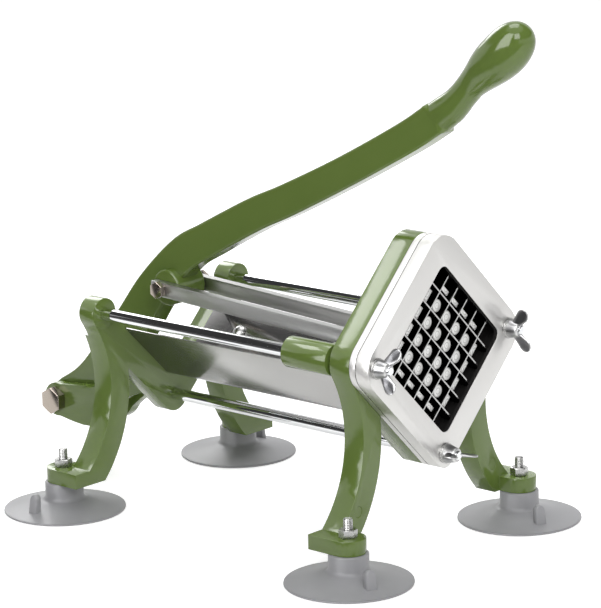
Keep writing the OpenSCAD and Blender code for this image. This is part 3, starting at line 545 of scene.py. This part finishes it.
# Radius and height up the hub, and the turn of each nut as it was left in the photograph
hub = turned([[2.6, 0], [5.8, 0], [6.0, .4], [5.9, 1.2], [5.2, 4.2], [4.7, 6.6], [4.4, 7.6], [4.0, 8.0],
              [2.6, 8.0]], 48)
for name, (y, z), spin in zip(("near", "far", "bottom"), ROD_PLACES, (73, 97, -10)):
    at = (PLATE_FRONT + WASHER_T + NUT_GAP, y, z)
    wings = [surface("wing", set_at(wing(side), at, "x", spin)) for side in (-1, 1)]
    nut = piece_of(f"wing_nut_{name}_forged", [surface("hub", set_at(hub, at, "x")), *wings], sharp=50)
    show(nut, f"wing_nut_{name}", cast_zinc)
    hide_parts(f"wing_nut_{name}")

# Links
# Two flat bars of steel from the lever's bosses to the carriage. Sheared, tumbled and zinc
# plated, so that their edges are soft and bright and their faces are an even dull grey.
plated_bar = bare_metal("tumbled_zinc_plate", "#b9b9b8", 0.34, 3, 4.0, 0.28, 0.42)[0]
dress("link_near", "near_link", plated_bar, edge=0.5)
dress("link_far", "far_link", plated_bar, edge=0.5)

# Bolts and screws
# The pivots' bolts and nuts are nickel-plated, warmer than zinc and a little dulled by handling.
# The trough's screw and nut and the head's screws are zinc-plated.
nickel = bare_metal("dull_nickel", "#aaa096", 0.16, 2, 3.0, 0.10, 0.22)[0]
for node in ("pivot_bolt", "pivot_nut", "link_bolt", "link_nut", "carriage_bolts"):
    dress(node, node + "_plated", nickel, edge=0.4, sharp=35)
for node in ("trough_screw", "trough_nut", "pusher_head_screws"):
    dress(node, node + "_plated", zinc, edge=0.3, sharp=35)

# Suction feet
# Four moulded cups of grey rubber: a thin dish with a rolled rim, a neck under each foot pad
# and a pull tab on the dish. Smooth from the mould, a little dull.
rubber, t, shader, place = finish_of("moulded_grey_rubber", "#99999b", 0.0, 0.40)
drive(t, shader, Base_Color=blend(t, noise(t, place, 20, 4.0), "#929295", "#a0a0a3"),
      Normal=bump(t, noise(t, place, 1.2, 2.0), 0.12, 0.2))


def cup_profile():
    """Half section of a cup from its top centre, over neck, fillet, dish and rolled rim, and back
    under the hollow: the dish falls as a cubic of the distance from the rim."""
    neck_r, top_z, dish_z, edge_z, lip = 12.5, 19.35, 7.2, 1.5, 0.75
    u = np.linspace(1, 0, 22)
    r = 39.6 - 23.6 * u
    dish = np.column_stack([r, edge_z + (dish_z - edge_z) * (0.75 * u + 0.25 * u ** 3)])
    a = np.radians(np.linspace(8, 82, 7))
    fillet = np.column_stack([neck_r + 3.6 - 3.6 * np.cos(a), dish_z + 3.4 - 3.4 * np.sin(a)])
    a = np.radians(np.linspace(75, -60, 6))
    roll = np.column_stack([39.05 + .7 * np.cos(a), lip + lip * np.sin(a)])
    top = [[0, top_z], [3.0, top_z], [11.7, top_z], [12.3, 19.1], [neck_r, 18.5]]
    under = [[38.9, 0.0], [36.9, 0.0], [25, 1.95], [neck_r, 3.9], [0, 4.6]]
    return np.vstack([top, fillet, dish[1:], roll, under])


def tab(width, thick, height):
    """A pull tab: a rounded slab whose outline is straight up to a half circle, swept through its
    thickness with a rolled rim; it leans towards the neck by a seventh of its height."""
    half, lip = width / 2, 1.0
    a = np.linspace(0, np.pi, 21)
    loop = np.column_stack([np.concatenate([[half * 1.12], half * np.cos(a), [-half * 1.12]]),
                            np.concatenate([[0], height - half + half * np.sin(a), [0]])])
    centre = np.array([0, (height - half) * 0.75])
    k = np.radians(np.linspace(-90, 90, 9))
    rolled = [((half - lip + lip * np.cos(q)) / half, np.sign(q) * (thick / 2 - lip) + lip * np.sin(q))
              for q in k]
    levels = [(0.0, -thick / 2), *rolled, (0.0, thick / 2)]
    p = np.stack([np.column_stack([0 * loop[:, 0] + d, *(centre + (loop - centre) * share).T])
                  for share, d in levels])
    p[..., 2] = np.maximum(p[..., 2], 0)
    p[..., 0] -= p[..., 2] / 7
    return p


FOOT_X, FOOT_Y = {"front": -5.0, "rear": -251.5}, {"near": -83.0, "far": 83.0}
TAB_SIZE, TAB_AT = (6.6, 4.6, 13), [27, 0, 2.3]     # width, thickness, height; place on the dish
TAB_TURNS = {("front", "near"): -20, ("front", "far"): -23, ("rear", "near"): -91, ("rear", "far"): 98}
for (end, side), spin in TAB_TURNS.items():
    at = (FOOT_X[end], FOOT_Y[side], 0)
    body = surface("cup", set_at(turned(cup_profile(), 96), at))
    ear = surface("tab", set_at(tab(*TAB_SIZE) + TAB_AT, at, "z", spin))
    cup = piece_of(f"suction_cup_{end}_{side}_rubber", [body, ear], sharp=60)
    show(cup, "frame", rubber)
    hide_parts(f"suction_cup_{end}_{side}")

# The studs that are moulded into the cups, and the nuts that hold them in the foot pads
PAD_TOP, PAD_NUT_H, PAD_NUT_TURN = 28.9, 5.2, 15
feet = [(x, y) for x in FOOT_X.values() for y in FOOT_Y.values()]
foot_stud, foot_nut = threaded(7.4, 40.7, 2.95), hexagon(NUT_FLATS, PAD_NUT_H, NUT_BORE)
foot_studs = piece_of("moulded_in_studs", [surface("stud", set_at(foot_stud, (x, y, 0))) for x, y in feet])
show(foot_studs, "frame", zinc)
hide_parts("foot_studs")
foot_nuts = piece_of("foot_pad_nuts", [surface("nut", set_at(foot_nut, (x, y, PAD_TOP), "z", PAD_NUT_TURN))
                                       for x, y in feet], sharp=25)
show(foot_nuts, "frame", zinc)
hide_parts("foot_nuts")

# Studio
# A white sweep under soft boxes: one beside the camera, one overhead, a weak one from behind and
# two flagged ones. Metal mirrors a room that is white behind the cutter and low down on its far
# side, dark elsewhere, with a bright ceiling and a window of soft light in front.
view = bpy.context.scene.view_settings
view.view_transform = "Standard"

floor_mesh = bpy.data.meshes.new("floor")
floor_mesh.from_pydata([(-4, -4, 0), (4, -4, 0), (4, 4, 0), (-4, 4, 0)], [], [(0, 1, 2, 3)])
floor = bpy.data.objects.new("floor", floor_mesh)
floor.location.z = -0.0002
bpy.context.scene.collection.objects.link(floor)
m, t, shader, place = finish_of("white_sweep", "#f4f4f4", 0.0, 0.9)
seen = add(t, "ShaderNodeLightPath").outputs
# In polished metal the sweep ends a quarter of a metre in front of the cutter's near side
white_part = ramp(t, parts_of(t, place)["Y"], -0.31, -0.23)
by_glass_or_metal = calc(t, "MAXIMUM", seen["Is Transmission Ray"], seen["Is Glossy Ray"])
mirrored = calc(t, "MULTIPLY", by_glass_or_metal, white_part)
dark_part = calc(t, "MULTIPLY", calc(t, "SUBTRACT", 1.0, white_part), seen["Is Glossy Ray"])
glow = calc(t, "MULTIPLY_ADD", seen["Is Camera Ray"], 0.5, calc(t, "MULTIPLY", mirrored, 0.32))
drive(t, shader, Base_Color=blend(t, dark_part, "#f4f4f4", "#262626"), Emission_Strength=glow)
shader.inputs["Emission Color"].default_value = (1, 1, 1, 1)
floor_mesh.materials.append(m)

WHITE, DARK = (1, 1, 1, 1), 0.04
TO_CAMERA = (0.67, -0.74, 0)
PANE_AT, PANE_SHARES = (-0.10, -0.94, 0.37), (2.5, 0, 2.3)
world = bpy.data.worlds.new("studio")
bpy.context.scene.world = world
world.use_nodes = True
t = world.node_tree
sky = t.nodes["Background"]
sky.inputs["Color"].default_value = WHITE
sky.inputs["Strength"].default_value = 0.5
seen = add(t, "ShaderNodeLightPath").outputs
direction = add(t, "ShaderNodeTexCoord").outputs["Generated"]
towards = parts_of(t, direction)
front = add(t, "ShaderNodeVectorMath", {0: direction}, operation="DOT_PRODUCT", i1=TO_CAMERA).outputs["Value"]
# The room is white behind the cutter, and low down but not on its near side, where Y falls
far_side = ramp(t, towards["Y"], -0.58, -0.48, DARK, 1.0)
low = calc(t, "MINIMUM", ramp(t, towards["Z"], 0.24, 0.30, 1.0, DARK), far_side)
behind = ramp(t, front, -0.68, -0.60, 1.0, DARK)
ceiling = ramp(t, towards["Z"], 0.78, 0.86, DARK, 0.9)
# The window of soft light: a rectangle about one direction, on the camera's side of the room
offset = add(t, "ShaderNodeVectorMath", {0: direction}, operation="SUBTRACT", i1=PANE_AT)
scaled = add(t, "ShaderNodeVectorMath", {0: offset.outputs["Vector"]}, operation="MULTIPLY", i1=PANE_SHARES)
apart = parts_of(t, scaled.outputs["Vector"])
rim = calc(t, "MAXIMUM", calc(t, "ABSOLUTE", apart["X"]), calc(t, "ABSOLUTE", apart["Z"]))
pane = calc(t, "MULTIPLY", ramp(t, rim, 0.9, 1.0, 6.0, 0.0), calc(t, "GREATER_THAN", front, 0.3))
room = calc(t, "MAXIMUM", calc(t, "MAXIMUM", low, behind), ceiling)
studio_glow = add(t, "ShaderNodeBackground", {"Strength": calc(t, "MAXIMUM", room, pane)}, Color=WHITE)
white_glow = add(t, "ShaderNodeBackground", Color=WHITE, Strength=1.0)
clear = calc(t, "MAXIMUM", seen["Is Camera Ray"], seen["Is Transmission Ray"])
by_metal = {0: seen["Is Glossy Ray"], 1: sky.outputs[0], 2: studio_glow.outputs[0]}
by_eye = {0: clear, 1: add(t, "ShaderNodeMixShader", by_metal).outputs[0], 2: white_glow.outputs[0]}
surround = add(t, "ShaderNodeMixShader", by_eye)
t.links.new(surround.outputs[0], t.nodes["World Output"].inputs["Surface"])


def lamp(name, at, aim, size, power):
    """A square soft box of `size` metres at one point, turned to face another."""
    light = bpy.data.lights.new(name, "AREA")
    light.shape, light.size, light.energy = "SQUARE", size, power
    o = bpy.data.objects.new(name, light)
    o.location = at
    o.rotation_mode = "QUATERNION"
    o.rotation_quaternion = (Vector(aim) - Vector(at)).to_track_quat("-Z", "Y")
    o.visible_camera = False
    bpy.context.scene.collection.objects.link(o)
    return o


lamp("front_box", (1.15, -0.85, 1.25), (0, 0, 0.12), 0.8, 12)
lamp("overhead", (-0.2, 0.3, 1.7), (0, 0, 0.1), 0.9, 9)
lamp("back_box", (-1.3, 0.7, 0.9), (0, 0, 0.12), 0.6, 5)
# Two soft boxes stand where the castings' upper left sides mirror them to the camera. The small
# one lights the castings alone and the large one the plates too, as a studio's flag keeps such a
# lamp off the polished rods.
face = np.array([NODES_X - 19, -39, 168]) * MM
normal = np.array([0, -1, 1]) / np.sqrt(2)
to_eye = placing[:3, 3] - face
to_eye /= np.linalg.norm(to_eye)
mirror_way = 2 * (normal @ to_eye) * normal - to_eye
side_box = lamp("side_box", (face + 1.3 * mirror_way).tolist(), face.tolist(), 0.42, 3.9)
fill_way = mirror_way + [0, 0.1, -0.1]
fill_box = lamp("fill_box", (face + 1.5 * fill_way).tolist(), face.tolist(), 2.2, 17)
castings = ("front_casting", "rear_casting", "carriage_casting")
for flagged, names in ((side_box, castings), (fill_box, (*castings, "front_plate", "rear_plate"))):
    lit = bpy.data.collections.new(flagged.name + "_lit")
    for name in names:
        lit.objects.link(bpy.data.objects[name])
    flagged.visible_diffuse = False
    flagged.light_linking.receiver_collection = lit
